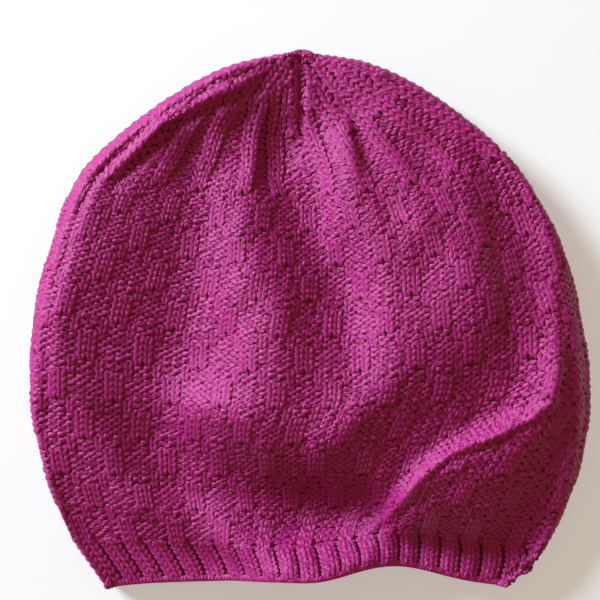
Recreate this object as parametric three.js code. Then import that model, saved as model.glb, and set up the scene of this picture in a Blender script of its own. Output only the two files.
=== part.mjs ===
// A knitted slouch beret that lies flat on a table, seen from above in its own frame.
// X runs to the wearer's right across the flat hat, Y from the band to the crown tip, Z up.
// The knitting is one soft wall, modelled in the sections it is knitted in, in millimetres.
import * as THREE from 'three';

// Driving sizes of the flat hat
const hatWidth = 264;
const bandHeight = 12.8;
const bodyLength = 164.5;
const crownDepth = 67.2;

// Walls of the knitting
const fabricThickness = 2.8;
const bandThickness = 3.4;
const castOnDiameter = 3.6;
const yarnDiameter = 2;

// Height of the flat hat over the table
const edgeRollHeight = 19;
const domeHeight = 11;
const foldRise = 12;

// Height under the top layer that the deepest fold leaves free
const headRoomHeight = 11.3;

// Relief of the knitting
const ribGrooveDepth = 1.5;
const wedgeDepth = 1.1;
const ribCount = 44;
const goreCount = 22;

// Clearance between neighbouring sections, wider where the outline turns at the band's top
const sectionGap = 0.4;
const bandSeamGap = 0.9;

const hatLength = bandHeight + bodyLength + crownDepth;
const wool = 0xa3245f;
const woolDeep = 0x8f1d52;
const woolRoughness = 0.93;

// The courses of knitting at eleven heights, from the cast-on edge to the tip.
// Each has the share of the rows below it, the two ends of the course as shares of
// the width, their lift over its middle as shares of the length, and the shares of
// the rolled edge's height and of the dome.
const courseShares = [
  { row: 0, left: -0.37, right: 0.362, leftLift: -0.017, rightLift: -0.015, roll: 0.76, dome: 0.1 },
  { row: 0.087, left: -0.425, right: 0.423, leftLift: 0.011, rightLift: -0.006, roll: 0.81, dome: 0.14 },
  { row: 0.217, left: -0.473, right: 0.482, leftLift: 0.006, rightLift: 0.007, roll: 0.95, dome: 0.75 },
  { row: 0.348, left: -0.498, right: 0.5, leftLift: 0.022, rightLift: 0.03, roll: 1, dome: 0.95 },
  { row: 0.478, left: -0.489, right: 0.48, leftLift: 0.054, rightLift: 0.062, roll: 1, dome: 1 },
  { row: 0.609, left: -0.452, right: 0.436, leftLift: 0.073, rightLift: 0.076, roll: 0.97, dome: 0.95 },
  { row: 0.739, left: -0.409, right: 0.352, leftLift: 0.043, rightLift: 0.08, roll: 0.92, dome: 0.85 },
  { row: 0.804, left: -0.335, right: 0.278, leftLift: 0.052, rightLift: 0.082, roll: 0.88, dome: 0.72 },
  { row: 0.87, left: -0.246, right: 0.194, leftLift: 0.054, rightLift: 0.075, roll: 0.8, dome: 0.5 },
  { row: 0.935, left: -0.146, right: 0.099, leftLift: 0.043, rightLift: 0.052, roll: 0.7, dome: 0.25 },
  { row: 1, left: -0.035, right: 0.012, leftLift: 0.004, rightLift: 0.002, roll: 0.5, dome: 0 },
];
const bandTopShare = courseShares[1].row;
const crownStartShare = courseShares[6].row;
const goreEndShare = 0.975;
const middleShare = -0.014;

// The mouth's lower edge draws up on the right of the middle
const mouthLift = 6;
const mouthLiftCentreShare = 0.45;
const mouthLiftWidthShare = 0.28;
const mouthLiftFadeShare = 0.25;

// Folds of the top layer, as soft mounds and hollows. Each has its height as a share of the
// fold rise, its place from the middle of the hat as shares of the width and length, half its
// length and half its width as shares of the hat's width, and its turn in degrees.
const folds = [
  // the rolled left shoulder, and the crown's left half that sinks beside it
  { heightShare: 0.9, acrossShare: -0.35, upShare: 0.21, lengthShare: 0.34, widthShare: 0.09, turn: 59 },
  { heightShare: -1, acrossShare: -0.21, upShare: 0.25, lengthShare: 0.29, widthShare: 0.125, turn: 20 },
  // the broad hollow left of the middle, and the one that runs down to the band
  { heightShare: -1, acrossShare: -0.19, upShare: 0.015, lengthShare: 0.19, widthShare: 0.12, turn: 55 },
  { heightShare: -0.8, acrossShare: -0.22, upShare: -0.45, lengthShare: 0.34, widthShare: 0.09, turn: 102 },
  // the ridge up the middle of the crown, and the valley right of it
  { heightShare: 0.8, acrossShare: -0.095, upShare: 0.105, lengthShare: 0.34, widthShare: 0.07, turn: 94 },
  { heightShare: -1, acrossShare: 0.02, upShare: 0.09, lengthShare: 0.265, widthShare: 0.07, turn: 114 },
  // the trough over the band between the two ridges that come off its left end and its right
  { heightShare: 1, acrossShare: 0, upShare: -0.52, lengthShare: 0.28, widthShare: 0.07, turn: 155 },
  { heightShare: -1, acrossShare: -0.015, upShare: -0.375, lengthShare: 0.23, widthShare: 0.07, turn: 165 },
  { heightShare: 0.85, acrossShare: 0.13, upShare: -0.445, lengthShare: 0.34, widthShare: 0.07, turn: 38 },
  // the right edge, which the last ridge climbs to, and the raised cloth inside it
  { heightShare: 1, acrossShare: 0.46, upShare: -0.115, lengthShare: 0.13, widthShare: 0.07, turn: 71 },
  { heightShare: 0.8, acrossShare: 0.12, upShare: -0.13, lengthShare: 0.15, widthShare: 0.075, turn: 49 },
  { heightShare: 0.65, acrossShare: 0.265, upShare: 0.055, lengthShare: 0.15, widthShare: 0.1, turn: 121 },
];
const foldFadeShare = 0.82;

// Where the folds' own length shares have their zero
const lengthMiddleShare = 0.5;

// Shares of the ribs and wedges: the slope of a band rib, a gore's rib at the start and its
// edge, the slope beside it, where the wedge closes, and how far the tip's crest stands out
const bandSlopeShare = 0.22;
const ribStartShare = 1 / 3;
const ribEdgeShare = 0.94;
const flankShare = 0.25;
const wedgeCloseShare = 0.62;
const tipCrestShare = 0.25;

// Steps of the mesh along and round the hat
const bodySteps = 14;
const frontSteps = 34;
const backSteps = 28;
const bandSteps = 2;
const goreSteps = 6;
const tipSteps = 3;
const quarterSteps = 20;
const flatSteps = 80;
const castOnSteps = 88;
const beadSides = 6;
const slopeShare = 0.001;

const clamp = THREE.MathUtils.clamp;
const lerp = THREE.MathUtils.lerp;

// A smooth curve through one column of the course table
function courseValue(key, row) {
  const last = courseShares.length - 2;
  let at = 0;
  while (at < last && row > courseShares[at + 1].row) {
    at += 1;
  }
  const [before, from, to, after] = [at - 1, at, at + 1, at + 2].map(
    (index) => courseShares[clamp(index, 0, last + 1)]);
  const span = to.row - from.row;
  const slope = (a, b) => (b.row === a.row ? 0 : (b[key] - a[key]) / (b.row - a.row));
  const startSlope = slope(before, to) * span;
  const endSlope = slope(from, after) * span;
  const t = (row - from.row) / span;
  const t2 = t * t;
  const t3 = t2 * t;
  return (2 * t3 - 3 * t2 + 1) * from[key] + (t3 - 2 * t2 + t) * startSlope
    + (3 * t2 - 2 * t3) * to[key] + (t3 - t2) * endSlope;
}

// How far up the middle of the hat a course lies
function courseLength(row) {
  if (row < bandTopShare) {
    return bandHeight * row / bandTopShare;
  }
  if (row < crownStartShare) {
    return bandHeight + bodyLength * (row - bandTopShare) / (crownStartShare - bandTopShare);
  }
  return bandHeight + bodyLength + crownDepth * (row - crownStartShare) / (1 - crownStartShare);
}

// Height that the folds add to the top layer
function foldHeight(x, y) {
  return folds.reduce((sum, fold) => {
    const turn = THREE.MathUtils.degToRad(fold.turn);
    const fromX = x - fold.acrossShare * hatWidth;
    const fromY = y - (fold.upShare + lengthMiddleShare) * hatLength;
    const along = (fromX * Math.cos(turn) + fromY * Math.sin(turn)) / (fold.lengthShare * hatWidth);
    const across = (fromY * Math.cos(turn) - fromX * Math.sin(turn)) / (fold.widthShare * hatWidth);
    return sum + fold.heightShare * foldRise * Math.exp(-along * along - across * across);
  }, 0);
}

// One course as a closed section: over the top from the left edge, and back along the table
function courseSection(row) {
  const left = courseValue('left', row) * hatWidth;
  const right = courseValue('right', row) * hatWidth;
  const middle = middleShare * hatWidth;
  const length = courseLength(row);
  const leftLift = courseValue('leftLift', row) * hatLength;
  const rightLift = courseValue('rightLift', row) * hatLength;
  const radius = courseValue('roll', row) * edgeRollHeight / 2;
  const dome = courseValue('dome', row) * domeHeight;
  const lowest = Math.min(headRoomHeight + fabricThickness - 2 * radius, 0);
  const mouthFade = Math.exp(-((row / mouthLiftFadeShare) ** 2));
  const place = (x, z) => {
    const side = x < middle ? (x - middle) / (middle - left) : (x - middle) / (right - middle);
    const lift = side < 0 ? leftLift : rightLift;
    const offset = (side - mouthLiftCentreShare) / mouthLiftWidthShare;
    const draw = mouthLift * mouthFade * Math.exp(-offset * offset);
    return new THREE.Vector3(x, length + lift * side * side + draw, z);
  };
  const points = [];
  const flatLeft = left + radius;
  const flatRight = right - radius;
  const quarter = Math.PI / 2;
  for (let i = 0; i < quarterSteps; i += 1) {
    const angle = quarter * i / quarterSteps;
    points.push(place(flatLeft - radius * Math.cos(angle), radius + radius * Math.sin(angle)));
  }
  for (let i = 0; i < flatSteps; i += 1) {
    const share = i / flatSteps;
    const x = lerp(flatLeft, flatRight, share);
    const across = 2 * share - 1;
    const fade = 1 - Math.max(0, (Math.abs(across) - foldFadeShare) / (1 - foldFadeShare)) ** 2;
    const raised = dome * (1 - across * across);
    const folded = fade * foldHeight(x, place(x, 0).y);
    const relief = Math.max(raised + folded, lowest);
    points.push(place(x, radius + radius + relief));
  }
  for (let i = 0; i < quarterSteps * 2; i += 1) {
    const angle = quarter - quarter * i / quarterSteps;
    points.push(place(flatRight + radius * Math.cos(angle), radius + radius * Math.sin(angle)));
  }
  for (let i = 0; i < flatSteps; i += 1) {
    points.push(place(lerp(flatRight, flatLeft, i / flatSteps), 0));
  }
  for (let i = 0; i < quarterSteps; i += 1) {
    const angle = -quarter - quarter * i / quarterSteps;
    points.push(place(flatLeft + radius * Math.cos(angle), radius + radius * Math.sin(angle)));
  }
  // distances round the section, so that equal shares of a half hold equal lengths of it
  const turn = quarterSteps + flatSteps + quarterSteps;
  const distances = [0];
  for (let i = 0; i < points.length; i += 1) {
    distances.push(distances[i] + points[i].distanceTo(points[(i + 1) % points.length]));
  }
  return { points, distances, turn };
}

const sections = new Map();

// A point of the outer wall: round is the share round the course, row the share of the rows
function wallPoint(round, row) {
  if (!sections.has(row)) {
    sections.set(row, courseSection(row));
  }
  const { points, distances, turn } = sections.get(row);
  const share = round - Math.floor(round);
  const front = distances[turn];
  const whole = distances[points.length];
  const along = share < 0.5 ? 2 * share * front : front + (2 * share - 1) * (whole - front);
  let low = 0;
  let high = points.length;
  while (high - low > 1) {
    const mid = (low + high) >> 1;
    if (distances[mid] <= along) {
      low = mid;
    } else {
      high = mid;
    }
  }
  const t = (along - distances[low]) / (distances[high] - distances[low]);
  return points[low].clone().lerp(points[high % points.length], t);
}

// A point at a depth under the outer wall
function depthPoint(round, row, depth) {
  const point = wallPoint(round, row);
  const lower = Math.max(row - slopeShare, 0);
  const upper = Math.min(row + slopeShare, 1);
  const across = wallPoint(round + slopeShare, row).sub(wallPoint(round - slopeShare, row));
  const along = wallPoint(round, upper).sub(wallPoint(round, lower));
  const outward = across.cross(along).normalize();
  return point.addScaledVector(outward, -depth);
}

function roundLength(row) {
  wallPoint(0, row);
  const { distances } = sections.get(row);
  return distances[distances.length - 1];
}

// Shifts a row share by a length along the middle of the hat
function rowShift(row, length) {
  const rise = courseLength(row + slopeShare) - courseLength(row - slopeShare);
  return row + length * 2 * slopeShare / rise;
}

function solid(positions, triangles) {
  const geometry = new THREE.BufferGeometry();
  geometry.setAttribute('position', new THREE.Float32BufferAttribute(positions, 3));
  geometry.setIndex(triangles);
  geometry.computeVertexNormals();
  return geometry;
}

// A wall between an outer and an inner grid of points; a ring closes on itself
function wallGeometry(outer, inner, isRing) {
  const rows = outer.length;
  const columns = outer[0].length;
  const positions = [];
  [outer, inner].forEach((grid) => grid.flat().forEach((point) => positions.push(...point.toArray())));
  const out = (i, j) => i * columns + (j % columns);
  const inn = (i, j) => rows * columns + out(i, j);
  const triangles = [];
  const quad = (a, b, c, d) => triangles.push(a, b, c, a, c, d);
  const across = isRing ? columns : columns - 1;
  for (let j = 0; j < across; j += 1) {
    for (let i = 0; i + 1 < rows; i += 1) {
      quad(out(i, j), out(i, j + 1), out(i + 1, j + 1), out(i + 1, j));
      quad(inn(i, j), inn(i + 1, j), inn(i + 1, j + 1), inn(i, j + 1));
    }
    quad(out(0, j), inn(0, j), inn(0, j + 1), out(0, j + 1));
    quad(out(rows - 1, j), out(rows - 1, j + 1), inn(rows - 1, j + 1), inn(rows - 1, j));
  }
  if (!isRing) {
    const end = columns - 1;
    for (let i = 0; i + 1 < rows; i += 1) {
      quad(out(i, 0), out(i + 1, 0), inn(i + 1, 0), inn(i, 0));
      quad(out(i, end), inn(i, end), inn(i + 1, end), out(i + 1, end));
    }
  }
  return solid(positions, triangles);
}

const steps = (from, to, count) => Array.from({ length: count + 1 }, (_, i) => lerp(from, to, i / count));

const beret = new THREE.Group();
beret.name = 'knitted_beret';

function addPiece(name, geometry, color = wool) {
  const material = new THREE.MeshStandardMaterial({ color, roughness: woolRoughness, metalness: 0 });
  const mesh = new THREE.Mesh(geometry, material);
  mesh.name = name;
  beret.add(mesh);
  return mesh;
}

// The body: a plain tube with the main folds of the slouch
function bodyGeometry() {
  const rows = steps(rowShift(bandTopShare, bandSeamGap / 2),
    rowShift(crownStartShare, -sectionGap / 2), bodySteps);
  const rounds = [...steps(0, 0.5, frontSteps), ...steps(0.5, 1, backSteps).slice(1, -1)];
  const grid = (depth) => rows.map((row) => rounds.map((round) => depthPoint(round, row, depth)));
  return wallGeometry(grid(0), grid(fabricThickness), true);
}

// The band: ribs of two knit wales with a narrow purl groove between neighbours, on a wall
// that thins to the body's at its top
function bandGeometry() {
  const rows = steps(rowShift(slopeShare, sectionGap / 2),
    rowShift(bandTopShare, -bandSeamGap / 2), bandSteps);
  const ribShares = [[0, 1], [bandSlopeShare, 0], [1 - bandSlopeShare, 0]];
  const places = [];
  for (let rib = 0; rib < ribCount; rib += 1) {
    ribShares.forEach(([share, groove]) => places.push([(rib + share) / ribCount, groove]));
  }
  const outer = rows.map((row) => places.map(
    ([round, groove]) => depthPoint(round, row, groove * ribGrooveDepth)));
  const inner = rows.map((row, i) => places.map(
    ([round]) => depthPoint(round, row, lerp(bandThickness, fabricThickness, i / bandSteps))));
  return wallGeometry(outer, inner, true);
}

// One gore of the crown: a rib of two wales and the purl wedge beside it, which closes
// before the tip
function goreGeometry(gore) {
  const rows = steps(rowShift(crownStartShare, sectionGap / 2), goreEndShare, goreSteps);
  const places = rows.map((row) => {
    const climb = (row - crownStartShare) / (goreEndShare - crownStartShare);
    const ribShare = lerp(ribStartShare, 1, clamp(climb / wedgeCloseShare, 0, 1));
    const recess = wedgeDepth * (1 - clamp(climb / wedgeCloseShare, 0, 1));
    const halfGap = sectionGap / 2 / roundLength(row);
    const start = (gore - ribStartShare / 2) / goreCount + halfGap;
    const end = (gore + 1 - ribStartShare / 2) / goreCount - halfGap;
    const footShare = ribShare + (1 - ribShare) * flankShare;
    const shares = [[0, 0], [ribShare * ribEdgeShare, 0], [footShare, recess], [1, recess]];
    return shares.map(([share, depth]) => [lerp(start, end, share), depth]);
  });
  const outer = rows.map((row, i) => places[i].map(([round, depth]) => depthPoint(round, row, depth)));
  const inner = rows.map((row, i) => places[i].map(([round]) => depthPoint(round, row, fabricThickness)));
  return wallGeometry(outer, inner, false);
}

// A closed bead of round yarn that follows a course at a depth under the wall
function beadGeometry(row, depth, shift, diameter, count) {
  const centres = steps(0, 1, count).slice(0, -1).map((round) => depthPoint(round, row, depth));
  centres.forEach((centre) => centre.setY(centre.y + shift));
  const positions = [];
  centres.forEach((centre, i) => {
    const next = centres[(i + 1) % count];
    const before = centres[(i + count - 1) % count];
    const along = next.clone().sub(before).normalize();
    const side = new THREE.Vector3(0, 1, 0).cross(along).normalize();
    const up = along.clone().cross(side);
    for (let k = 0; k < beadSides; k += 1) {
      const angle = 2 * Math.PI * k / beadSides;
      const point = centre.clone()
        .addScaledVector(side, Math.cos(angle) * diameter / 2)
        .addScaledVector(up, Math.sin(angle) * diameter / 2);
      positions.push(...point.toArray());
    }
  });
  const triangles = [];
  for (let i = 0; i < count; i += 1) {
    for (let k = 0; k < beadSides; k += 1) {
      const a = i * beadSides + k;
      const b = i * beadSides + (k + 1) % beadSides;
      const c = ((i + 1) % count) * beadSides + (k + 1) % beadSides;
      const d = ((i + 1) % count) * beadSides + k;
      triangles.push(a, b, c, a, c, d);
    }
  }
  return solid(positions, triangles);
}

// The drawn-up tip: the last courses gathered into a small closed cap
function tipGeometry() {
  const rows = steps(rowShift(goreEndShare, sectionGap), 1, tipSteps);
  const rounds = steps(0, 1, goreCount).slice(0, -1);
  const grid = rows.map((row) => rounds.map((round) => wallPoint(round, row)));
  const average = (points) => points.reduce((sum, point) => sum.add(point), new THREE.Vector3())
    .divideScalar(points.length);
  const base = average(grid[0]);
  const crest = average(grid[tipSteps]);
  crest.y += fabricThickness * tipCrestShare;
  const positions = [];
  grid.flat().forEach((point) => positions.push(...point.toArray()));
  positions.push(...base.toArray(), ...crest.toArray());
  const baseIndex = grid.length * goreCount;
  const crestIndex = baseIndex + 1;
  const triangles = [];
  for (let j = 0; j < goreCount; j += 1) {
    const next = (j + 1) % goreCount;
    for (let i = 0; i < tipSteps; i += 1) {
      const a = i * goreCount + j;
      const b = i * goreCount + next;
      triangles.push(a, b, b + goreCount, a, b + goreCount, a + goreCount);
    }
    triangles.push(baseIndex, next, j);
    triangles.push(crestIndex, tipSteps * goreCount + j, tipSteps * goreCount + next);
  }
  return solid(positions, triangles);
}

const castOnDrop = castOnDiameter / 2 + sectionGap;
addPiece('cast_on_edge', beadGeometry(0, castOnDiameter / 2, -castOnDrop, castOnDiameter, castOnSteps));
addPiece('ribbed_band', bandGeometry());
addPiece('patterned_body', bodyGeometry(), woolDeep);
for (let gore = 0; gore < goreCount; gore += 1) {
  const number = String(gore + 1).padStart(2, '0');
  addPiece(`crown_gore_${number}`, goreGeometry(gore));
}
addPiece('crown_tip', tipGeometry(), woolDeep);
const yarnRow = rowShift(goreEndShare, -yarnDiameter);
addPiece('closing_yarn', beadGeometry(yarnRow, fabricThickness + sectionGap + yarnDiameter / 2, 0,
  yarnDiameter, goreCount));

// The origin is under the middle of the hat, on the table
const box = new THREE.Box3().setFromObject(beret);
const centre = box.getCenter(new THREE.Vector3());
beret.position.set(-centre.x, -centre.y, -box.min.z);

export default beret;
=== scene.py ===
"""A knitted slouch beret that lies flat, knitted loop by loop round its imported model."""
import math
from functools import lru_cache

import bpy
import numpy as np
from bpy.props import (
    FloatProperty, FloatVectorProperty, IntProperty, PointerProperty,
)
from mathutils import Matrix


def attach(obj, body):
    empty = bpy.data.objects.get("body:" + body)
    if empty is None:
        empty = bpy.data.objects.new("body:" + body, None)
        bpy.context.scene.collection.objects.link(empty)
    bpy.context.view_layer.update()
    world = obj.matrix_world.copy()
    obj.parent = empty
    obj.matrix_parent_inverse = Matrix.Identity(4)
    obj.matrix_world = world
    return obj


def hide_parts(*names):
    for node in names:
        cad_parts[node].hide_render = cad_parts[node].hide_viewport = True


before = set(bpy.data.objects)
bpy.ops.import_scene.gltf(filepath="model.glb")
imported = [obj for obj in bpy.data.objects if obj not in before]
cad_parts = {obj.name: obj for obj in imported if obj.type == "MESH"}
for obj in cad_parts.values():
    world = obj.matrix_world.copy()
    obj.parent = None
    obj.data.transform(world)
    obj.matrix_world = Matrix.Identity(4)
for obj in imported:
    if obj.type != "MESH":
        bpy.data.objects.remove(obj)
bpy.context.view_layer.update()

bl_info = {
    "name": "Knitted slouch beret",
    "version": (1, 0, 0),
    "blender": (4, 5, 0),
    "location": "View3D > Sidebar > Beret",
    "description": "Knits a flat slouch beret loop by loop on its draped surface",
    "category": "Add Mesh",
}

MM = 0.001

# The flat hat in millimetres: its width, the lengths of the band, the body and the crown up its
# middle, the height of its rolled edge, and how far the top layer rises over that. They are the
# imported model's, but the band reaches 1.2 mm lower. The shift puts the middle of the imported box
# at zero, and the middle line lies at a share of the width.
WIDTH = 264.0
BAND_LENGTH = 14.0
BODY_LENGTH = 164.5
CROWN_LENGTH = 67.2
LENGTH = BAND_LENGTH + BODY_LENGTH + CROWN_LENGTH
SHIFT = np.array([-0.09, -120.42, 0.0])
EDGE_ROLL = 19.0
DOME = 11.0
MIDDLE_SHARE = -0.014

# How wide the rolled edge is against its half height
ROLL_WIDTH_SHARE = 0.3

# Courses of knitting: the share of the rows below, the two ends as shares of the width, the
# lift of the ends over the middle as shares of the length, and the shares of roll and dome.
COURSES = np.array([
    (0.000, -0.370, 0.362, -0.017, -0.015, 0.76, 0.10),
    (0.087, -0.425, 0.423, 0.011, -0.006, 0.81, 0.14),
    (0.217, -0.473, 0.482, 0.006, 0.007, 0.95, 0.75),
    (0.348, -0.498, 0.500, 0.022, 0.030, 1.00, 0.95),
    (0.478, -0.489, 0.480, 0.054, 0.062, 1.00, 1.00),
    (0.609, -0.452, 0.436, 0.073, 0.076, 0.95, 0.95),
    (0.739, -0.409, 0.352, 0.043, 0.080, 0.88, 0.85),
    (0.804, -0.335, 0.278, 0.052, 0.082, 0.84, 0.72),
    (0.870, -0.246, 0.194, 0.054, 0.075, 0.76, 0.50),
    (0.935, -0.146, 0.099, 0.043, 0.052, 0.66, 0.25),
    (1.000, -0.035, 0.012, 0.004, 0.002, 0.48, 0.00),
])
LEFT, RIGHT, LEFT_LIFT, RIGHT_LIFT, ROLL, DOMED = range(1, 7)
BAND_TOP_SHARE = 0.087
CROWN_START_SHARE = 0.739

# How the mouth's lower edge draws up: millimetres, and its centre, width and fade as shares
MOUTH_DRAW = (7.4, 0.45, 0.28, 0.25)

# How much of that the back layer does, so that its edge shows below the front one
BACK_DRAW_SHARE = 0.72

# Rows of stitches in the band, the body, the crown and the closed tip, the share that the tip
# adds to the rows, gores round the hat, stitches to a gore, and rows to a tier of blocks
BAND_ROWS = 7
BODY_ROWS = 60
CROWN_ROWS = 24
TIP_ROWS = 3
TIP_SHARE = 0.03
GORES = 22
SLOTS = 6
TIER_ROWS = 6

# How far the tip's last course draws together, how far its crest stands out in millimetres, and
# the share of the rows that the surface goes on below the mouth
TIP_CLOSE_SHARE = 0.9
TIP_CREST = 1.6
BELOW_SHARE = 0.02

# Folds of the top layer, as soft mounds and hollows: the middle across and up the hat, half
# the length and half the width in millimetres, the turn in degrees and the height. A separate
# fitting program worked them out from the blurred light and shade of the photograph.
FOLDS = np.array([
    (45, -15, 90, 35, 34, 6.7),
    (-117, 27, 90, 25, 61, 7.5),
    (15, -116, 90, 16, 25, 9.4),
    (72, 20, 86, 26, 135, 5.7),
    (-1, 40, 75, 15, 107, -7.7),
    (107, -40, 74, 16, 61, 6.4),
    (-71, -95, 90, 30, 87, -3.9),
    (-12, -116, 90, 11, 155, 6.4),
    (-20, -82, 74, 16, 173, -5.4),
    (-49, 103, 63, 9, 36, 7.5),
    (-6, -81, 90, 12, 161, -5.3),
    (68, -74, 90, 12, 33, 5.3),
    (-72, -13, 90, 24, 65, -3.5),
    (-59, -10, 90, 18, 83, -3.6),
    (-45, 104, 55, 10, 27, 5.8),
    (10, -96, 82, 10, 169, -4.2),
    (99, 36, 32, 12, 101, -5.9),
    (-31, 20, 90, 11, 97, 3.5),
    (19, 11, 30, 11, 100, -5.8),
    (2, 73, 57, 21, 8, -2.9),
    (-18, 82, 35, 12, 25, -4.5),
    (69, -65, 85, 6, 32, 4.1),
    (128, -47, 90, 6, 83, 4.0),
    (90, -89, 63, 20, 97, -2.5),
    (-32, 13, 90, 14, 57, -2.4),
    (-47, 102, 25, 6, 26, -6.9),
    (-43, -42, 24, 11, 165, 4.9),
    (-85, 74, 21, 6, 45, -7.4),
    (-58, 95, 36, 6, 33, -5.5),
    (22, -44, 27, 12, 45, 4.1),
    (-88, 75, 43, 6, 50, 4.6),
    (-49, -103, 29, 10, 117, -4.1),
    (54, 49, 72, 15, 84, -2.1),
    (15, -104, 63, 7, 174, -3.2),
    (-15, -3, 36, 10, 95, 3.6),
    (85, 49, 90, 8, 98, -2.4),
    (37, -86, 22, 6, 49, -5.9),
    (17, -99, 23, 8, 40, -4.8),
    (-92, -68, 86, 11, 114, 2.1),
    (27, 74, 51, 8, 118, -2.7),
    (-58, 88, 75, 10, 8, -1.9),
    (101, -43, 48, 6, 24, -3.0),
    (4, 65, 36, 7, 91, -2.6),
    (44, -82, 27, 8, 132, 2.4),
    (49, 41, 15, 9, 66, 3.1),
    (98, -45, 16, 6, 39, -3.4),
    (-22, 86, 24, 6, 82, 2.7),
    (-34, 14, 23, 8, 52, 2.3),
    (40, 82, 24, 7, 155, -2.2),
    (-23, 64, 51, 8, 38, -1.2),
    (-25, 91, 30, 6, 77, -1.6),
])
# Sharp creases: the crest's height, how far it slopes towards the light and away from it, and
# the places of its line, all in millimetres
CREASES = [
    (5.5, 6, 3.0, [(14, -107), (26, -100), (36, -92), (43, -83), (50, -73), (59, -65), (71, -58),
                   (85, -53), (99, -46), (111, -38), (114, -24), (114, -10), (113, 9)]),
    (5.5, 3.5, 3.0, [(-93, 66), (-83, 76), (-69, 90), (-56, 98), (-44, 104), (-33, 109),
                     (-24, 114)]),
    (-3.5, 3.5, 3.5, [(-124, -60), (-124, -35), (-122, 3), (-113, 39), (-103, 61), (-96, 70),
                      (-86, 80), (-72, 94), (-59, 103), (-47, 109), (-36, 113), (-27, 118)]),
    (3.0, 7, 4.0, [(-28, 56), (-27, 75), (-25, 91), (-19, 110)]),
    (2.5, 7, 2.5, [(22, 61), (20, 80), (17, 94), (6, 101)]),
    (-2.2, 2, 2.0, [(-4, 82), (-4, 95), (-4, 110), (-4, 126)]),
]

# How a crease fades: the share of its line where it ends, and the power of its fade
CREASE_END_SHARE = 0.03
CREASE_FADE = 0.6

# The share of the half width where the folds begin to fade towards the rolled edge, and how deep
# the deepest one may go, as a share of the roll's half height
FOLD_FADE_SHARE = 0.95
DEEPEST_SHARE = 0.9


def metres(name, default, description):
    return FloatProperty(name=name, default=default, description=description, unit="LENGTH",
                         min=0.0, precision=5)


def number(name, default, description):
    return FloatProperty(name=name, default=default, description=description, min=0.0)


def colour(name, default, description):
    return FloatVectorProperty(name=name, default=default, description=description,
                               subtype="COLOR", size=3, min=0.0, max=1.0)


class BERET_PG_knitting(bpy.types.PropertyGroup):
    """Sizes of the loops."""
    yarn_radius: metres("Yarn radius", 0.00115, "Half the thickness of the yarn")
    wall_depth: metres("Wall depth", 0.0018, "How deep the middle of the fabric lies")
    loop_relief: metres("Loop relief", 0.0009, "How far a loop stands out to each side")
    rib_rise: metres("Rib rise", 0.0006, "How far a crown rib stands out")
    wedge_depth: metres("Wedge depth", 0.0011, "How deep a crown wedge lies")
    groove_depth: metres("Groove depth", 0.0026, "How deep a purl groove of the band lies")
    block_rise: metres("Block rise", 0.0005, "How far a block of knit stitches stands out")
    knob_rise: metres("Knob rise", 0.0006, "How far the purl over a block stands out")
    knit_height: number("Knit height", 0.78, "Half height of a knit loop in rows")
    purl_height: number("Purl height", 0.80, "Half height of a purl loop in rows")
    loop_lean: number("Loop lean", 0.27, "How far a loop's legs lean, in stitches")
    crown_lean: number("Crown lean", 0.31, "How far the legs lean in the crown, in stitches")
    gather: number("Gather", 0.02, "How far the legs of a crown stitch draw together, in stitches")
    covered_head: number("Covered head", 0.2,
                        "How far a knit loop's head stands out under a purl one")
    unevenness: number("Unevenness", 0.08, "Hand-knitted differences between loops")
    seed: IntProperty(name="Seed", default=7, description="Start of the random draws")
    steps: IntProperty(name="Steps", default=10, description="Mesh steps along a loop")
    sides: IntProperty(name="Sides", default=6, description="Mesh sides round the yarn")


class BERET_PG_wool(bpy.types.PropertyGroup):
    """Look of the wool."""
    lit: colour("Wool", (0.375, 0.0065, 0.158), "Colour of the fibres in the open")
    # Deep wool is painted shade: the darker colour that the recesses between loops and the ply
    # grooves are painted with
    deep: colour("Deep wool", (0.22, 0.001, 0.014), "Colour of the fibres between loops")
    fuzz: colour("Fuzz", (0.9, 0.5, 1.0), "Tint of the fine fuzz")
    roughness: number("Roughness", 0.5, "Roughness of the fibres")
    fuzz_weight: number("Fuzz weight", 0.12, "Strength of the fuzz")
    gloss: number("Gloss", 0.5, "Strength of the fibres' gloss")
    evenness: number("Evenness", 1.6, "How much the fuzz evens out the light on the loops")
    twist_length: metres("Twist length", 0.0034, "Length of one turn of the plies")
    twist_depth: metres("Twist depth", 0.0003, "Depth of the grooves between plies")


class BERET_PG_studio(bpy.types.PropertyGroup):
    """Light, floor and camera."""
    floor: colour("Floor", (0.60, 0.72, 0.59), "Colour of the table")
    floor_glow: number("Floor glow", 0.36, "Light that the table gives off, like a light table")
    key_power: number("Key power", 215.0, "Power of the window light, in watts")
    key_size: metres("Key size", 1.0, "Width of the window")
    key_height: number("Key height", 22.0, "How high the window light stands, in degrees")
    key_tint: colour("Key tint", (0.70, 0.72, 1.0), "Colour of the window light")
    fill: number("Fill", 0.36, "Strength of the room's light")
    fill_tint: colour("Fill tint", (1.0, 0.55, 0.32), "Colour of the room's light")
    lens: number("Lens", 105.0, "Focal length of the camera, in millimetres")
    frame_width: metres("Frame width", 0.2838, "Width that the picture shows")
    aim_x: FloatProperty(name="Aim X", default=-0.0045, unit="LENGTH",
                         description="Where the camera looks, across")
    aim_y: FloatProperty(name="Aim Y", default=0.0088, unit="LENGTH",
                         description="Where the camera looks, up the hat")


# The draped surface

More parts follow.
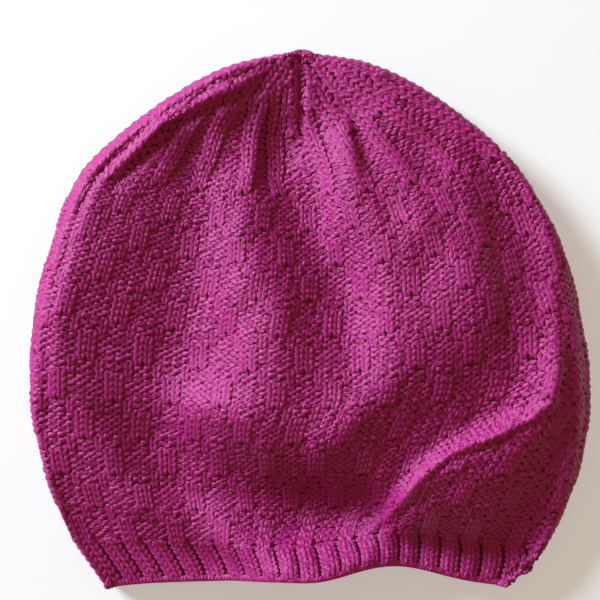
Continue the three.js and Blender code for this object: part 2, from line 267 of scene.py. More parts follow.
def course(column, shares):
    """A smooth curve through one column of the course table."""
    rows, values = COURSES[:, 0], COURSES[:, column]
    slopes = np.empty(len(rows))
    slopes[1:-1] = (values[2:] - values[:-2]) / (rows[2:] - rows[:-2])
    slopes[0] = (values[1] - values[0]) / (rows[1] - rows[0])
    slopes[-1] = (values[-1] - values[-2]) / (rows[-1] - rows[-2])
    at = np.clip(np.searchsorted(rows, shares, side="right") - 1, 0, len(rows) - 2)
    span = rows[at + 1] - rows[at]
    t = (shares - rows[at]) / span
    t2, t3 = t * t, t * t * t
    return ((2 * t3 - 3 * t2 + 1) * values[at] + (t3 - 2 * t2 + t) * slopes[at] * span
            + (3 * t2 - 2 * t3) * values[at + 1] + (t3 - t2) * slopes[at + 1] * span)


def course_length(shares):
    """How far up the middle of the hat a course lies, in millimetres."""
    rise = BAND_LENGTH / BAND_TOP_SHARE
    return np.where(shares < 0, rise * shares, np.interp(
        shares, [0, BAND_TOP_SHARE, CROWN_START_SHARE, 1],
        [0, BAND_LENGTH, BAND_LENGTH + BODY_LENGTH, LENGTH]))


def fold_height(x, y):
    """Height in millimetres that the folds add at points of the top layer."""
    height = np.zeros_like(x)
    for middle_x, middle_y, half_length, half_width, turn, rise in FOLDS:
        cos, sin = math.cos(math.radians(turn)), math.sin(math.radians(turn))
        along = ((x - middle_x) * cos + (y - middle_y) * sin) / half_length
        across = ((y - middle_y) * cos - (x - middle_x) * sin) / half_width
        height += rise * np.exp(-along ** 2 - across ** 2)
    for rise, lit_width, shaded_width, line in CREASES:
        height += crease_height(x, y, rise, lit_width, shaded_width, np.array(line, float))
    return height


def crease_height(x, y, rise, lit_width, shaded_width, line):
    """Height of one crease, which fades at both ends of its line."""
    nearest = np.full(x.shape, np.inf)
    height = np.zeros_like(x)
    count = len(line) - 1
    for k in range(count):
        step = line[k + 1] - line[k]
        length = np.hypot(*step)
        along = ((x - line[k, 0]) * step[0] + (y - line[k, 1]) * step[1]) / length ** 2
        t = np.clip(along, 0, 1)
        away_x, away_y = x - line[k, 0] - t * step[0], y - line[k, 1] - t * step[1]
        distance = np.hypot(away_x, away_y)
        shaded = (x - line[k, 0]) * step[1] - (y - line[k, 1]) * step[0] > 0
        width = np.where(shaded, shaded_width, lit_width)
        place = np.clip((k + t) / count, CREASE_END_SHARE, 1 - CREASE_END_SHARE)
        fade = np.sin(math.pi * place) ** CREASE_FADE
        here = rise * fade * np.exp(-(distance / width) ** 2)
        height = np.where(distance < nearest, here, height)
        nearest = np.minimum(nearest, distance)
    return height


class Drape:
    """The outer surface of the hat as a fine grid: rows of knitting by places round."""
    # rows, places on a flat and on a quarter of a rolled edge, and places round once evened
    ROWS = 420
    FLAT = 260
    QUARTER = 22
    ROUND = 1056

    def __init__(self):
        self.low, self.high = -BELOW_SHARE, 1 + TIP_SHARE
        shares = np.linspace(self.low, self.high, self.ROWS)
        inside = np.clip(shares, self.low, 1)
        grid = self.sections(inside)
        # over the last share the course closes to a point, with a slight crest
        closing = np.clip((shares - 1) / TIP_SHARE, 0, 1)[:, None, None]
        centre = grid.mean(axis=1, keepdims=True)
        grid = grid + (centre - grid) * closing * TIP_CLOSE_SHARE
        grid[..., 1] += TIP_CREST * np.sin(closing[..., 0] * math.pi / 2)
        self.points = grid
        around = np.roll(grid, -1, 1) - np.roll(grid, 1, 1)
        along = np.gradient(grid, axis=0)
        normals = np.cross(around, along)
        length = np.linalg.norm(normals, axis=2, keepdims=True)
        self.normals = normals / np.maximum(length, 1e-9)

    def sections(self, shares):
        """Outlines of the hat's section at shares of its rows, round from the left edge."""
        left = (course(LEFT, shares) * WIDTH)[:, None]
        right = (course(RIGHT, shares) * WIDTH)[:, None]
        middle = MIDDLE_SHARE * WIDTH
        radius = (course(ROLL, shares) * EDGE_ROLL / 2)[:, None]
        dome = (course(DOMED, shares) * DOME)[:, None]
        roll = radius * ROLL_WIDTH_SHARE
        start, end = left + roll, right - roll
        quarter = np.linspace(0, math.pi / 2, self.QUARTER, endpoint=False)[None]
        half = np.linspace(math.pi / 2, -math.pi / 2, 2 * self.QUARTER, endpoint=False)[None]
        flat = np.linspace(0, 1, self.FLAT, endpoint=False)[None]
        x = np.concatenate([start - roll * np.cos(quarter), start + (end - start) * flat,
                            end + roll * np.cos(half), end + (start - end) * flat,
                            start - roll * np.sin(quarter)], axis=1)
        lift_left = (course(LEFT_LIFT, shares) * LENGTH)[:, None]
        lift_right = (course(RIGHT_LIFT, shares) * LENGTH)[:, None]
        side = np.where(x < middle, (x - middle) / (middle - left),
                        (x - middle) / (right - middle))
        rise, centre, width, fade = MOUTH_DRAW
        draw = (rise * np.exp(-(np.maximum(shares, 0)[:, None] / fade) ** 2)
                * np.exp(-((side - centre) / width) ** 2))
        draw[:, 3 * self.QUARTER + self.FLAT:] *= BACK_DRAW_SHARE
        y = (course_length(shares)[:, None]
             + np.where(side < 0, lift_left, lift_right) * side ** 2 + draw)
        across = 2 * flat - 1
        edge = np.clip((np.abs(across) - FOLD_FADE_SHARE) / (1 - FOLD_FADE_SHARE), 0, 1)
        top = slice(self.QUARTER, self.QUARTER + self.FLAT)
        folds = fold_height(x[:, top] + SHIFT[0], y[:, top] + SHIFT[1]) * (1 - edge ** 2)
        relief = np.maximum(dome * (1 - across ** 2) + folds, -radius * DEEPEST_SHARE)
        z = np.concatenate([radius + radius * np.sin(quarter), 2 * radius + relief,
                            radius + radius * np.sin(half), np.zeros_like(relief),
                            radius - radius * np.cos(quarter)], axis=1)
        turn = 2 * self.QUARTER + self.FLAT
        points = np.stack([x, y, z], axis=2) + SHIFT
        return np.stack([self.even(course_points, turn) for course_points in points])

    def even(self, points, turn):
        """Spaces the places evenly over the front half and over the back half."""
        closed = np.vstack([points, points[:1]])
        steps = np.linalg.norm(np.diff(closed, axis=0), axis=1)
        distance = np.concatenate([[0], np.cumsum(steps)])
        front, whole = distance[turn], distance[-1]
        places = np.linspace(0, 1, self.ROUND, endpoint=False)
        along = np.where(places < 0.5, 2 * places * front,
                         front + (2 * places - 1) * (whole - front))
        return np.stack([np.interp(along, distance, closed[:, k]) for k in range(3)], axis=1)

    def at(self, rounds, shares):
        """Points and outward normals at shares round the hat and shares of its rows."""
        column = (np.asarray(rounds) % 1) * self.ROUND
        row = (np.clip(shares, self.low, self.high) - self.low) / (self.high - self.low)
        row = row * (self.ROWS - 1)
        j = np.floor(column).astype(int)
        i = np.minimum(np.floor(row).astype(int), self.ROWS - 2)
        s, t = (column - j)[..., None], (row - i)[..., None]
        j, k = j % self.ROUND, (j + 1) % self.ROUND
        found = []
        for grid in (self.points, self.normals):
            found.append((grid[i, j] * (1 - s) + grid[i, k] * s) * (1 - t)
                         + (grid[i + 1, j] * (1 - s) + grid[i + 1, k] * s) * t)
        normals = found[1] / np.linalg.norm(found[1], axis=-1, keepdims=True)
        return found[0], normals


@lru_cache(maxsize=1)
def drape():
    return Drape()


# The stitches

KNIT, PURL = -1.0, 1.0

# How much longer than a plain wave a loop stays at the front and at the back of the fabric
HOLD_SHARE = 0.25

# The width in millimetres below which the yarn of a stitch is squeezed, the height of a row above
# which it fills out, the share of that height past which it doesn't, the shares of the width past
# which the yarn gets no thinner and no thicker, the length of a course below which the wall gets
# thinner, and how uneven the yarn's thickness is against the loops' shape
EASY_PITCH = 3.6
EASY_ROW = 3.1
LONGEST_SHARE = 1.7
THINNEST_SHARE = 0.35
WIDEST_SHARE = 1.35
THIN_PERIMETER = 30.0
UNEVEN_THICKNESS_SHARE = 0.5

# The stitches of a gore: two wales of rib, and then the wedge, which starts with four. Below
# them, the rows of the whole hat and the row at which the crown starts.
RIB_LEFT, RIB_RIGHT, WEDGE = 0, 1, 2
TOTAL_ROWS = BAND_ROWS + BODY_ROWS + CROWN_ROWS + TIP_ROWS
CROWN_ROW = BAND_ROWS + BODY_ROWS

# Widths of a groove's and a rib's stitches in the band against the even width
GROOVE_WIDTH = 0.62
RIB_WIDTH = 1.19

# The crown's wedges from the left edge round the front: the row at which each one turns from
# purl to knit, and its width against the even width. The wedges of the back are all alike.
WEDGES = [(1, 1.0), (17, 1.1), (12, 0.8), (13, 1.1), (16, 0.65), (10, 1.4), (15, 0.95),
          (10, 1.0), (11, 1.0), (12, 1.0), (1, 1.0)]
BACK_WEDGE = (12, 1.0)

# Rows in which a wedge loses a stitch, sinks to its depth and takes its own width, and how many
# of those last rows are over when the crown starts
WEDGE_NARROW_ROWS = 3.5
WEDGE_SINK_ROWS = 3
WEDGE_SPREAD_ROWS = 6
WEDGE_SPREAD_DONE_ROWS = 3

# The crown rows at which every other rib's two wales become one, and then the rest, and the row
# at which every other rib ends
RIB_MERGE_ROWS = (16, 19)
RIB_PAIR_ROW = 22

# How far the stitches have drifted round the hat: shares of the rows, and shares of a turn
DRIFT = np.array([(0.0, -0.0185), (0.17, -0.018), (0.24, -0.015), (0.30, -0.0127),
                  (0.37, -0.0076), (0.44, -0.0034), (0.50, 0.0), (0.57, 0.0036), (0.70, 0.0127),
                  (0.745, 0.016), (0.80, 0.015), (0.87, 0.006), (0.93, 0.0), (1.03, -0.002)])

# How the stitches come round the right edge so that the band's ribs stand upright there: shares
# of the rows and shares of a turn, and where round the hat it begins, is full and ends
COME_ROUND = np.array([(0.0, 0.0), (0.087, -0.028), (0.2, -0.03), (0.45, 0.0)])
COME_ROUND_PLACES = ((0.18, 0.0), (0.42, 1.0), (0.6, 1.0), (0.95, 0.0))


def row_share(row):
    """The share of the rows at a row number, which may have a fraction."""
    stops = [0, BAND_ROWS, CROWN_ROW, CROWN_ROW + CROWN_ROWS, TOTAL_ROWS]
    shares = [0, BAND_TOP_SHARE, CROWN_START_SHARE, 1, 1 + TIP_SHARE]
    row = np.asarray(row, float)
    return np.where(row < 0, row * BAND_TOP_SHARE / BAND_ROWS, np.interp(row, stops, shares))


class Course:
    """One course: each stitch's place and width round the hat, its face and its height."""

    def __init__(self, row, knitting):
        self.present = np.ones((GORES, SLOTS), bool)
        self.weight = np.ones((GORES, SLOTS))
        self.face = np.full((GORES, SLOTS), PURL)
        self.rise = np.zeros((GORES, SLOTS))
        if row < BAND_ROWS:
            self.band(knitting)
        elif row < CROWN_ROW:
            self.tier(row - BAND_ROWS, knitting)
        else:
            self.crown(row - CROWN_ROW, knitting)
        weight = np.where(self.present, self.weight, 0).ravel()
        edges = np.concatenate([[0], np.cumsum(weight)]) / weight.sum()
        share_of_rows = row_share(row)
        edges = edges - edges[2] / 2 + np.interp(share_of_rows, DRIFT[:, 0], DRIFT[:, 1])
        places, fullness = zip(*COME_ROUND_PLACES)
        edges += (np.interp(edges, places, fullness)
                  * np.interp(share_of_rows, COME_ROUND[:, 0], COME_ROUND[:, 1]))
        self.width = np.diff(edges)
        self.centre = edges[:-1] + self.width / 2
        self.present = self.present.ravel()
        self.face = self.face.ravel()
        self.rise = self.rise.ravel() / MM

    def band(self, knitting):
        grooves = [WEDGE, WEDGE + 3]
        knits = [RIB_LEFT, RIB_RIGHT, WEDGE + 1, WEDGE + 2]
        self.face[:, knits] = KNIT
        self.weight[:, grooves] = GROOVE_WIDTH
        self.weight[:, knits] = RIB_WIDTH
        self.rise[:, grooves] = -knitting.groove_depth
        self.rise[:, knits] = knitting.block_rise / 2

    def tier(self, row, knitting):
        """Blocks of two knit wales that change places from tier to tier."""
        from_top = (BODY_ROWS - 1 - row) // TIER_ROWS
        blocks = [WEDGE + 1, WEDGE + 2] if from_top % 2 == 0 else [RIB_LEFT, RIB_RIGHT]
        between = [WEDGE, WEDGE + 3]
        if row % TIER_ROWS < TIER_ROWS - 2:
            self.face[:, blocks] = KNIT
            self.rise[:, blocks] = knitting.block_rise
        else:
            self.face[:, between] = KNIT
            self.rise[:, blocks] = knitting.knob_rise

    def crown(self, row, knitting):
        """Ribs of two knit wales, and wedges between them that narrow and turn to knit."""
        fading = max(0.0, 1 - row / RIB_PAIR_ROW)
        self.face[:, [RIB_LEFT, RIB_RIGHT]] = KNIT
        self.rise[:, [RIB_LEFT, RIB_RIGHT]] = knitting.rib_rise * fading
        left = max(0, SLOTS - WEDGE - int(row / WEDGE_NARROW_ROWS))
        self.present[:, WEDGE + left:] = False
        for gore in range(GORES):
            close, width = WEDGES[gore] if gore < len(WEDGES) else BACK_WEDGE
            spread = min(1.0, (row + WEDGE_SPREAD_DONE_ROWS) / WEDGE_SPREAD_ROWS)
            self.weight[gore, WEDGE:] = 1 + (width - 1) * spread
            if row < close:
                self.rise[gore, WEDGE:] = -knitting.wedge_depth * min(1.0, row / WEDGE_SINK_ROWS)
            else:
                self.face[gore, WEDGE:] = KNIT
        for first, merge_row in enumerate(RIB_MERGE_ROWS):
            if row >= merge_row:
                self.present[first::2, RIB_RIGHT] = False
        if row >= RIB_PAIR_ROW:
            self.present[1::2, RIB_LEFT] = False
            self.weight[:, RIB_LEFT] = 2
        # past the tip's first row only every other one of those ribs is left
        if row > CROWN_ROWS:
            self.present[2::4, RIB_LEFT] = False

    def places(self):
        """Each stitch's place, where a missing one takes the place of the one before it."""
        filled = self.centre.copy()
        for k in range(1, len(filled)):
            if not self.present[k]:
                filled[k] = filled[k - 1]
        return filled


def wave(values, stops):
    """A smooth closed curve through stops at equal shares of a loop."""
    count = stops.shape[-1]
    place = values * (count - 1)
    at = np.minimum(place.astype(int), count - 2)
    t = place - at
    ease = (1 - np.cos(math.pi * t)) / 2
    return stops[:, at] * (1 - ease) + stops[:, at + 1] * ease


def plateau(values):
    """Holds a wave longer at its crests and troughs."""
    return values * (1 + HOLD_SHARE - HOLD_SHARE * values ** 2)


def loop_rings(row, knitting, random):
    """The yarn of one course as rings of points round a closed line."""
    here, above = Course(row, knitting), Course(min(row + 1, TOTAL_ROWS - 1), knitting)
    kept = np.flatnonzero(here.present)
    centre, width = here.centre[kept], here.width[kept]
    target = above.places()[kept]
    face, rise = here.face[kept], here.rise[kept]
    head_face = above.face[kept]
    count, steps = len(kept), knitting.steps
    t = (np.arange(steps) + 0.5) / steps
    uneven = knitting.unevenness * random.normal(size=(4, count, 1))
    window = np.sin(math.pi * t)[None] ** 2
    lean = (knitting.loop_lean if row < CROWN_ROW else knitting.crown_lean) * (1 + uneven[0])
    gather = np.where((face == KNIT) & (row >= CROWN_ROW), knitting.gather, 0)[:, None]
    # the yarn goes up one leg, over the head and down the other one, and the legs lean
    across = ((t - 0.5)[None] + lean * np.sin(4 * math.pi * t)[None]
              + gather * np.sin(2 * math.pi * t)[None])
    height = np.where(face == KNIT, knitting.knit_height, knitting.purl_height)[:, None]
    height = height * (1 + uneven[1] * window)
    rows = row + 0.5 - height * np.cos(2 * math.pi * t)[None] + uneven[2] * window
    climb = rows - row
    rounds = (centre[:, None] * (1 - climb) + target[:, None] * climb
              + width[:, None] * across)
    # its feet, legs and head lie at the front or at the back of the fabric
    relief = knitting.loop_relief / MM
    sinker = (np.roll(face, 1) + face) / 2
    head = np.where((face == KNIT) & (head_face == PURL), knitting.covered_head, head_face)
    stops = np.stack([sinker, -face, head, -face, np.roll(sinker, -1)], axis=1)
    facing = plateau(wave(t, stops))
    low = (np.roll(rise, 1) + rise) / 2
    base = np.stack([low, rise, np.roll(low, -1)], axis=1)
    depth = relief * (facing + uneven[3] * window) + wave(t, base) - knitting.wall_depth / MM
    # how far each point lies towards the fabric's front or back, which sets its painted shade
    recess = facing.ravel()
    rounds, rows, depth = rounds.ravel(), rows.ravel(), depth.ravel()
    points, normals = drape().at(rounds, row_share(rows))
    heads, feet = points[steps // 2::steps], points[::steps]
    perimeter = np.linalg.norm(heads - np.roll(heads, 1, 0), axis=1).sum()
    # the wall gets thinner where the course is too small to hold it
    depth = depth * min(1, perimeter / THIN_PERIMETER)
    points = points + normals * depth[:, None]
    radius = knitting.yarn_radius / MM
    squeeze = np.clip(width * perimeter / EASY_PITCH, THINNEST_SHARE, WIDEST_SHARE)[:, None]
    reach = np.linalg.norm(heads - feet, axis=1)[:, None] / (2 * height)
    stretch = np.clip(reach / EASY_ROW, 1, LONGEST_SHARE)
    uneven_thickness = (UNEVEN_THICKNESS_SHARE * knitting.unevenness
                        * random.normal(size=(count, 1)))
    thick = radius * (squeeze * stretch) ** 0.5
    thick = thick * (1 + uneven_thickness * window)
    thick = thick.ravel()
    points[:, 2] = np.maximum(points[:, 2], thick)
    shades = np.repeat(random.random(count), steps)
    return tube(points, normals, thick, knitting), shades, recess, normals


def tube(points, normals, radius, knitting):
    """Rings of points round a closed line, the first one of each on the outward side."""
    along = np.roll(points, -1, 0) - np.roll(points, 1, 0)
    along /= np.linalg.norm(along, axis=1, keepdims=True)
    out = normals - along * np.sum(normals * along, axis=1, keepdims=True)
    out /= np.linalg.norm(out, axis=1, keepdims=True)
    side = np.cross(along, out)
    angle = 2 * math.pi * np.arange(knitting.sides) / knitting.sides
    ring = np.cos(angle)[:, None] * out[:, None] + np.sin(angle)[:, None] * side[:, None]
    return points[:, None] + radius[:, None, None] * ring


def yarn_piece(name, courses, material, twist_length):
    """A mesh of closed yarns. Each course has its rings, shades, depths and fabric normals."""
    sides = courses[0][0].shape[1]
    points = np.concatenate([rings.reshape(-1, 3) for rings, *_ in courses]) * MM
    shades, depths, lies = [
        np.concatenate([np.repeat(course_values[k], sides, axis=0) for course_values in courses])
        for k in (1, 2, 3)]
    quads, yarn, bake = [], [], []
    first = 0
    k = np.arange(sides)
    strips = strip_plan([len(rings) for rings, *_ in courses])
    for (rings, *_), strip in zip(courses, strips):
        count = len(rings)
        i = np.arange(count)[:, None]
        a = first + i * sides + k
        b = first + i * sides + (k + 1) % sides
        c = first + (i + 1) % count * sides + (k + 1) % sides
        d = first + (i + 1) % count * sides + k
        quads.append(np.stack([a, b, c, d], axis=2).reshape(-1, 4))
        middle = rings.mean(axis=1)
        reach = np.linalg.norm(np.roll(middle, -1, 0) - middle, axis=1)
        along = np.concatenate([[0], np.cumsum(reach)])
        turns = max(1, round(along[-1] / (twist_length / MM)))
        along = along / along[-1] * turns
        u = np.broadcast_to(along[:-1, None], (count, sides))
        v = np.broadcast_to(along[1:, None], (count, sides))
        low = np.broadcast_to(k / sides, (count, sides))
        high = low + 1 / sides
        yarn.append(np.stack([u, low, u, high, v, high, v, low], axis=2).reshape(-1, 2))
        bake.append(strip_places(count, sides, strip))
        first += count * sides
    quads = np.concatenate(quads)
    mesh = bpy.data.meshes.new(name)
    mesh.vertices.add(len(points))
    mesh.vertices.foreach_set("co", points.astype(np.float32).ravel())
    mesh.loops.add(quads.size)
    mesh.loops.foreach_set("vertex_index", quads.astype(np.int32).ravel())
    mesh.polygons.add(len(quads))
    mesh.polygons.foreach_set("loop_start", np.arange(0, quads.size, 4, dtype=np.int32))
    mesh.polygons.foreach_set("use_smooth", np.ones(len(quads), bool))
    for map_name, values in (("Yarn", yarn), ("OFBake", bake)):
        layer = mesh.uv_layers.new(name=map_name)
        layer.uv.foreach_set("vector", np.concatenate(values).astype(np.float32).ravel())
    # the shade attribute is each loop's random tone; the depth attribute sets the painted shade
    # between the loops
    for attribute, values in (("shade", shades), ("depth", depths)):
        layer = mesh.attributes.new(attribute, "FLOAT", "POINT")
        layer.data.foreach_set("value", values.astype(np.float32))
    layer = mesh.attributes.new("lie", "FLOAT_VECTOR", "POINT")
    layer.data.foreach_set("vector", lies.astype(np.float32).ravel())
    mesh.update(calc_edges=True)
    mesh.validate()
    mesh.materials.append(material)
    piece = bpy.data.objects.new(name, mesh)
    bpy.context.collection.objects.link(piece)
    return piece


# The bake map: steps of yarn to a strip, and the margins of a strip and of the map as shares
STRIP_STEPS = 340
STRIP_MARGIN = 0.06
MAP_MARGIN = 0.002


def strip_plan(counts):
    """Where each course's unrolled yarn lies in the bake map, as strips of equal height."""
    strips = sum(math.ceil(count / STRIP_STEPS) for count in counts)
    plan, at = [], 0
    for count in counts:
        plan.append((at, strips))
        at += math.ceil(count / STRIP_STEPS)
    return plan


def strip_places(count, sides, strip):
    """The corners in the bake map of every face of one course."""
    first, strips = strip
    i = np.arange(count)
    line = (first + i // STRIP_STEPS)[:, None]
    left = (i % STRIP_STEPS)[:, None] / STRIP_STEPS + np.zeros(sides)
    right = left + 1 / STRIP_STEPS
    strip_height, map_width = 1 - 2 * STRIP_MARGIN, 1 - 2 * MAP_MARGIN
    low = (line + STRIP_MARGIN + strip_height * np.arange(sides) / sides) / strips
    high = low + strip_height / sides / strips
    left, right = MAP_MARGIN + map_width * left, MAP_MARGIN + map_width * right
    return np.stack([left, low, left, high, right, high, right, low], axis=2).reshape(-1, 2)


# The material

class Flow:
    """A number that runs through a material. Python's operators on it add Math nodes."""

    def __init__(self, graph, socket):
        self.graph, self.socket = graph, socket

    def math(self, operation, *values):
        return self.graph.out("ShaderNodeMath", {"operation": operation}, dict(enumerate(values)))

    def __add__(self, other):
        return self.math("ADD", self, other)

    def __mul__(self, other):
        return self.math("MULTIPLY", self, other)

    __radd__, __rmul__ = __add__, __mul__

    def sine(self):
        return self.math("SINE", self)

    def between(self, low, high):
        return self.graph.out("ShaderNodeMapRange", {"interpolation_type": "SMOOTHSTEP"},
                              {0: self, 1: low, 2: high})


class Graph:
    """The node tree of one material."""

    def __init__(self, name):
        self.material = bpy.data.materials.new(name)
        self.material.use_nodes = True
        self.tree = self.material.node_tree
        self.tree.nodes.clear()

    def node(self, kind, settings=None, sockets=None):
        made = self.tree.nodes.new(kind)
        for key, value in (settings or {}).items():
            setattr(made, key, value)
        for key, value in (sockets or {}).items():
            if isinstance(value, Flow):
                self.tree.links.new(value.socket, made.inputs[key])
            else:
                made.inputs[key].default_value = value
        return made

    def out(self, kind, settings=None, sockets=None, output=0):
        return Flow(self, self.node(kind, settings, sockets).outputs[output])

    def vector(self, operation, *values, scale=1.0, output=0):
        """A vector, or the number that a dot product gives."""
        return self.out("ShaderNodeVectorMath", {"operation": operation},
                        {**dict(enumerate(values)), 3: scale}, output)

    def mix(self, factor, first, second):
        """A colour between two colours."""
        return self.out("ShaderNodeMix", {"data_type": "RGBA"},
                        {0: factor, 6: first, 7: second}, output=2)


def opaque(colour_value):
    return (*colour_value, 1.0)


# Shares of the wool's lightness: the painted shade of the recesses, the loop's random tone, the
# painted shade of the grooves between plies, and the fibre's random tone. The recess shade runs
# from a loop's back, where the painted shade is darkest, to its front.
RECESS_SHADE_SHARE, LOOP_SHARE, PLY_GROOVE_SHADE_SHARE, FIBRE_SHARE = 0.75, 0.12, 0.12, 0.2
RECESS_SHADE_FROM, RECESS_SHADE_TO = -1.3, 0.6

# Plies of the yarn, the fibres' noise, the heights of plies and fibres, the strength of that
# relief, the spread of the roughness, and the roughness of the fuzz
PLIES = 2
FIBRE_SCALE, FIBRE_DETAIL = 2600.0, 2.0
PLY_HEIGHT, FIBRE_HEIGHT = 0.5, 0.9
BUMP_STRENGTH = 0.8
ROUGHNESS_SPREAD = 0.2
FUZZ_ROUGHNESS = 0.45


@lru_cache(maxsize=1)
def wool_material():
    """Soft, matt plied wool: painted shade between the loops and in the ply grooves, uneven in dye,
    with a fine fuzz.
    """
    look = bpy.context.scene.beret_wool
    graph = Graph("magenta_wool")
    place = graph.out("ShaderNodeTexCoord", output=3)
    yarn = graph.out("ShaderNodeUVMap", {"uv_map": "Yarn"})
    turns = graph.out("ShaderNodeSeparateXYZ", sockets={0: yarn}, output=0)
    around = Flow(graph, turns.socket.node.outputs[1])
    shade = graph.out("ShaderNodeAttribute", {"attribute_name": "shade"}, output=2)
    depth = graph.out("ShaderNodeAttribute", {"attribute_name": "depth"}, output=2)
    fibre = graph.out("ShaderNodeTexNoise", sockets={
        "Vector": place, "Scale": FIBRE_SCALE, "Detail": FIBRE_DETAIL})
    painted_recess_shade_mask = depth.between(RECESS_SHADE_FROM, RECESS_SHADE_TO)
    # the ply twist gives both the ply relief and a painted shade in the grooves between plies
    twist = ((turns + around * PLIES) * (2 * math.pi)).sine()
    lightness = (painted_recess_shade_mask * RECESS_SHADE_SHARE + shade * LOOP_SHARE + twist * PLY_GROOVE_SHADE_SHARE
                 + fibre * FIBRE_SHARE)
    # the colour runs from the painted shade colour in the recesses to the wool's own colour in the
    # open
    body = graph.mix(lightness, opaque(look.deep), opaque(look.lit))
    height = twist * PLY_HEIGHT + fibre * FIBRE_HEIGHT
    # the fuzz evens out the light, as if the loops stood out less from the fabric
    normal = graph.out("ShaderNodeNewGeometry", output=1)
    lie = graph.out("ShaderNodeAttribute", {"attribute_name": "lie"}, output=1)
    facing = graph.vector("DOT_PRODUCT", normal, lie, output=1)
    evened = graph.vector("SCALE", lie, scale=facing * look.evenness)
    soft = graph.vector("NORMALIZE", graph.vector("ADD", normal, evened))
    bump = graph.out("ShaderNodeBump", sockets={
        "Strength": BUMP_STRENGTH, "Distance": look.twist_depth, "Height": height, "Normal": soft})
    rough = fibre * ROUGHNESS_SPREAD + (look.roughness - ROUGHNESS_SPREAD / 2)
    shader = graph.node("ShaderNodeBsdfPrincipled", sockets={
        "Base Color": body, "Roughness": rough, "Normal": bump,
        "Specular IOR Level": look.gloss, "Sheen Weight": look.fuzz_weight,
        "Sheen Roughness": FUZZ_ROUGHNESS, "Sheen Tint": opaque(look.fuzz)})
    output = graph.node("ShaderNodeOutputMaterial")
    graph.tree.links.new(shader.outputs[0], output.inputs[0])
    return graph.material


# The operators

def knit(name, rows, nodes):
    """Knits some courses as one piece that stands for CAD nodes."""
    scene = bpy.context.scene
    knitting = scene.beret_knitting
    courses = []
    for row in rows:
        random = np.random.default_rng([knitting.seed, row])
        courses.append(loop_rings(row, knitting, random))
    piece = yarn_piece(name, courses, wool_material(), scene.beret_wool.twist_length)
    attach(piece, "root")
    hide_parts(*nodes)
    return piece


# The cast-on edge: mesh steps to a twist, the row it lies at and how far it swings in rows, how
# far its strands swing in and out in millimetres, their thickness against the yarn's, and
# their place between the lightest and the darkest loop
CAST_ON_STEPS = 8
CAST_ON_ROW = -0.25
CAST_ON_SWING = 0.33
CAST_ON_DEPTH = 0.85
CAST_ON_RADIUS_SHARE = 0.95
CAST_ON_SHADE = 0.5


class BERET_OT_cast_on_edge(bpy.types.Operator):
    """Lay the two twisted strands of the cast-on edge along the mouth."""
    bl_idname = "beret.cast_on_edge"
    bl_label = "Cast-on edge"

    def execute(self, context):
        knitting = context.scene.beret_knitting
        turns = GORES * SLOTS
        share_round = np.arange(turns * CAST_ON_STEPS) / (turns * CAST_ON_STEPS)
        phase = 2 * math.pi * turns * share_round
        radius = knitting.yarn_radius / MM * CAST_ON_RADIUS_SHARE
        courses = []
        for strand in (0, math.pi):
            rows = CAST_ON_ROW + CAST_ON_SWING * np.sin(phase + strand)
            points, normals = drape().at(share_round, row_share(rows))
            depth = -knitting.wall_depth / MM + CAST_ON_DEPTH * np.cos(phase + strand)
            points = points + normals * depth[:, None]
            points[:, 2] = np.maximum(points[:, 2], radius)
            rings = tube(points, normals, np.full(len(points), radius), knitting)
            shades = np.full(len(points), CAST_ON_SHADE)
            # the strands' swing in and out sets their painted shade
            courses.append((rings, shades, np.cos(phase + strand), normals))
        piece = yarn_piece("cast_on_strands", courses, wool_material(),
                           context.scene.beret_wool.twist_length)
        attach(piece, "root")
        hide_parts("cast_on_edge")
        return {"FINISHED"}


class BERET_OT_ribbed_band(bpy.types.Operator):
    """Knit the ribs of the band."""
    bl_idname = "beret.ribbed_band"
    bl_label = "Ribbed band"

    def execute(self, context):
        knit("band_ribs", range(BAND_ROWS), ["ribbed_band"])
        return {"FINISHED"}


class BERET_OT_patterned_body(bpy.types.Operator):
    """Knit the tiers of blocks of the body, two tiers to a piece."""
    bl_idname = "beret.patterned_body"
    bl_label = "Patterned body"

    def execute(self, context):
        rows = 2 * TIER_ROWS
        for number, start in enumerate(range(BAND_ROWS, CROWN_ROW, rows), 1):
            knit(f"body_tiers_{number}", range(start, start + rows), ["patterned_body"])
        return {"FINISHED"}


class BERET_OT_crown(bpy.types.Operator):
    """Knit the ribs and wedges of the crown."""
    bl_idname = "beret.crown"
    bl_label = "Crown"

    def execute(self, context):
        gores = [f"crown_gore_{number + 1:02d}" for number in range(GORES)]
        half = CROWN_ROW + CROWN_ROWS // 2
        knit("crown_lower", range(CROWN_ROW, half), gores)
        knit("crown_upper", range(half, CROWN_ROW + CROWN_ROWS), gores)
        return {"FINISHED"}


class BERET_OT_crown_tip(bpy.types.Operator):
    """Knit the last stitches, which close the tip."""
    bl_idname = "beret.crown_tip"
    bl_label = "Crown tip"

    def execute(self, context):
        knit("tip_stitches", range(CROWN_ROW + CROWN_ROWS, TOTAL_ROWS),
             ["crown_tip", "closing_yarn"])
        return {"FINISHED"}


# The stage in metres: the table's width and finish, how far away the window is, where it stands
# as seen from above, and how far the camera sees
TABLE_SIZE = 60.0
TABLE_ROUGHNESS, TABLE_GLOSS = 0.9, 0.1
WINDOW_DISTANCE = 3.0
WINDOW_PLACE = (-0.8, 0.6)
SIGHT = 20.0


def add_light(name, energy, size, location, tint):
    data = bpy.data.lights.new(name, "AREA")
    data.energy, data.size, data.color = energy, size, tint
    lamp = bpy.data.objects.new(name, data)
    bpy.context.collection.objects.link(lamp)
    lamp.location = location
    lamp.rotation_mode = "QUATERNION"
    lamp.rotation_quaternion = lamp.location.to_track_quat("Z", "Y")


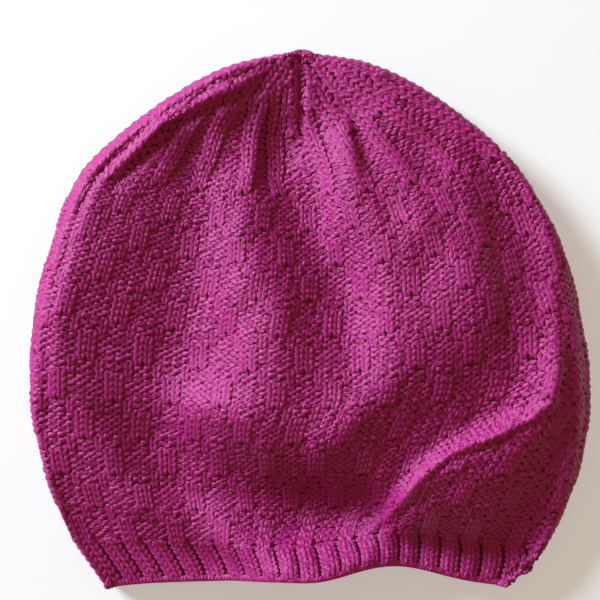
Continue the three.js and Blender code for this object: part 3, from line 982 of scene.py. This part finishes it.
class BERET_OT_stage(bpy.types.Operator):
    """Set up the table, the light and the camera."""
    bl_idname = "beret.stage"
    bl_label = "Stage"

    def execute(self, context):
        scene = context.scene
        look = scene.beret_studio
        bpy.ops.object.select_all(action="DESELECT")
        bpy.ops.mesh.primitive_plane_add(size=TABLE_SIZE, location=(0, 0, 0))
        floor = context.object
        floor.name = "table"
        graph = Graph("pale_table")
        shader = graph.node("ShaderNodeBsdfPrincipled", sockets={
            "Base Color": opaque(look.floor), "Roughness": TABLE_ROUGHNESS,
            "Specular IOR Level": TABLE_GLOSS,
            "Emission Color": (1.0, 1.0, 1.0, 1.0), "Emission Strength": look.floor_glow})
        output = graph.node("ShaderNodeOutputMaterial")
        graph.tree.links.new(shader.outputs[0], output.inputs[0])
        floor.data.materials.append(graph.material)

        low = math.radians(look.key_height)
        reach = WINDOW_DISTANCE * math.cos(low)
        place = (WINDOW_PLACE[0] * reach, WINDOW_PLACE[1] * reach, WINDOW_DISTANCE * math.sin(low))
        add_light("window", look.key_power, look.key_size, place, look.key_tint)
        world = bpy.data.worlds.new("room")
        scene.world = world
        world.use_nodes = True
        background = world.node_tree.nodes["Background"]
        background.inputs[0].default_value = opaque(look.fill_tint)
        background.inputs[1].default_value = look.fill

        data = bpy.data.cameras.new("camera")
        data.lens = look.lens
        camera = bpy.data.objects.new("camera", data)
        bpy.context.collection.objects.link(camera)
        distance = look.frame_width * look.lens / data.sensor_width
        camera.location = (look.aim_x, look.aim_y, distance + EDGE_ROLL / 2 * MM)
        data.clip_end = SIGHT
        scene.camera = camera
        scene.view_settings.view_transform = "Standard"
        return {"FINISHED"}


class BERET_PT_panel(bpy.types.Panel):
    """The beret's pieces and sizes in the 3D view's sidebar."""
    bl_label = "Beret"
    bl_idname = "BERET_PT_panel"
    bl_space_type = "VIEW_3D"
    bl_region_type = "UI"
    bl_category = "Beret"

    def draw(self, context):
        layout = self.layout
        for operator in OPERATORS:
            layout.operator(operator.bl_idname)
        for group in GROUPS:
            values = getattr(context.scene, group)
            for name in values.__annotations__:
                layout.prop(values, name)


GROUPS = {
    "beret_knitting": BERET_PG_knitting,
    "beret_wool": BERET_PG_wool,
    "beret_studio": BERET_PG_studio,
}
OPERATORS = [
    BERET_OT_stage, BERET_OT_cast_on_edge, BERET_OT_ribbed_band, BERET_OT_patterned_body,
    BERET_OT_crown, BERET_OT_crown_tip,
]


def register():
    for group, kind in GROUPS.items():
        bpy.utils.register_class(kind)
        setattr(bpy.types.Scene, group, PointerProperty(type=kind))
    for kind in [*OPERATORS, BERET_PT_panel]:
        bpy.utils.register_class(kind)


def unregister():
    for kind in [BERET_PT_panel, *reversed(OPERATORS)]:
        bpy.utils.unregister_class(kind)
    for group, kind in reversed(GROUPS.items()):
        delattr(bpy.types.Scene, group)
        bpy.utils.unregister_class(kind)


def main():
    register()
    for operator in OPERATORS:
        family, name = operator.bl_idname.split(".")
        getattr(getattr(bpy.ops, family), name)()


if __name__ == "__main__":
    main()
